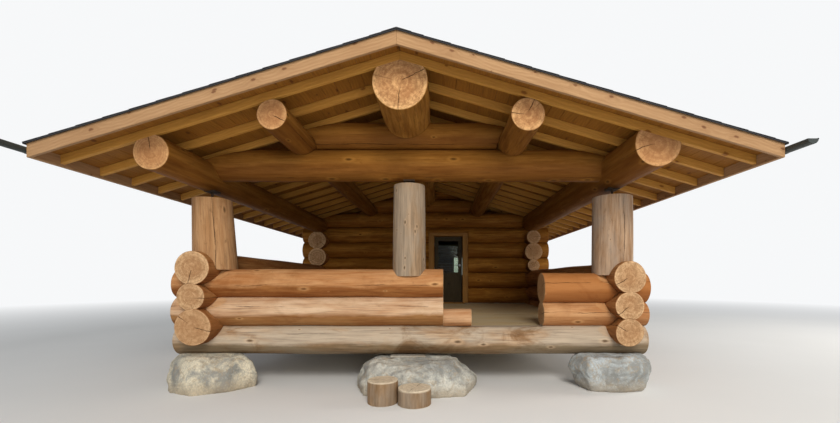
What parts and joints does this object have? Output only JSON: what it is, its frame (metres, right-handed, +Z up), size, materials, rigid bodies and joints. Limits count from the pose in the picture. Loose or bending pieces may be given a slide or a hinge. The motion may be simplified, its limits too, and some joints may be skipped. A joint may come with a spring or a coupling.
{
  "type": "log cabin",
  "caption": "Scribed round-log cabin on boulders, with a deep open porch under one gable roof, log rails, posts, a half-glazed door and a rear window.",
  "frame": {"origin": "on the ground, under the middle of the roof", "axes": "+X to the right seen from the porch front, +Y from the porch front to the back, +Z up"},
  "size_m": [7.8586, 11.88, 3.952],
  "materials": {
    "boulder_stone": "rough",
    "stump_wood": "weathered sawn",
    "sill_wood": "weathered, greyed",
    "rail_wood": "oiled, peeled",
    "side_log_wood": "oiled, peeled",
    "left_post_wood": "oiled, peeled",
    "centre_post_wood": "weathered, greyed",
    "right_post_wood": "weathered, peeled",
    "roof_log_wood": "oiled, peeled",
    "cabin_wall_wood": "oiled, peeled",
    "rafter_wood": "oiled, sawn",
    "deck_wood": "oiled boards",
    "barge_wood": "oiled, sawn",
    "floor_wood": "weathered boards",
    "joinery_wood": "oiled, planed",
    "door_paint": "dark stain",
    "glass": "clear",
    "jack_steel": "dull, galvanized",
    "fitting_steel": "satin",
    "roofing_felt": "mineral grit",
    "gutter_metal": "matt, dark grey"
  },
  "bodies": {
    "cabin": {"front_boulders": "boulder_stone", "rear_boulders": "boulder_stone", "step_stumps": "stump_wood", "front_sill_log": "sill_wood", "cabin_sill_log": "sill_wood", "rear_sill_log": "sill_wood", "left_front_rails": "rail_wood", "right_front_rails": "rail_wood", "entry_log": "rail_wood", "left_side_logs": "side_log_wood", "right_side_logs": "side_log_wood", "left_post": "left_post_wood", "centre_post": "centre_post_wood", "right_post": "right_post_wood", "post_jacks": "jack_steel", "left_plate_log": "roof_log_wood", "right_plate_log": "roof_log_wood", "front_tie_beam": "roof_log_wood", "purlin_logs": "roof_log_wood", "front_upper_tie": "roof_log_wood", "ridge_log": "roof_log_wood", "cabin_wall_left_of_door": "cabin_wall_wood", "cabin_wall_right_of_door": "cabin_wall_wood", "cabin_gable_logs": "cabin_wall_wood", "rear_wall_logs": "side_log_wood", "rear_gable_logs": "side_log_wood", "door_frame": "joinery_wood", "door_casing": "joinery_wood", "frame_hinges": "fitting_steel", "window_frame": "joinery_wood", "window_glass": "glass", "porch_floor": "floor_wood", "cabin_floor": "floor_wood", "floor_joists": "floor_wood", "left_rafters": "rafter_wood", "right_rafters": "rafter_wood", "left_roof_deck": "deck_wood", "right_roof_deck": "deck_wood", "left_roofing": "roofing_felt", "right_roofing": "roofing_felt", "ridge_cap": "roofing_felt", "front_barge_boards": "barge_wood", "rear_barge_boards": "barge_wood", "eave_fascias": "barge_wood", "left_gutter": "gutter_metal", "right_gutter": "gutter_metal"},
    "door": {"door_leaf": "door_paint", "door_glass": "glass", "door_handle": "fitting_steel", "door_hinges": "fitting_steel"}
  },
  "joints": [
    {"name": "door_hinge", "type": "hinge", "parent": "cabin", "child": "door", "pos_m": [0.178, 0.829, 1.675], "axis": [0, 0, 1], "range_deg": [0, 95]}
  ]
}
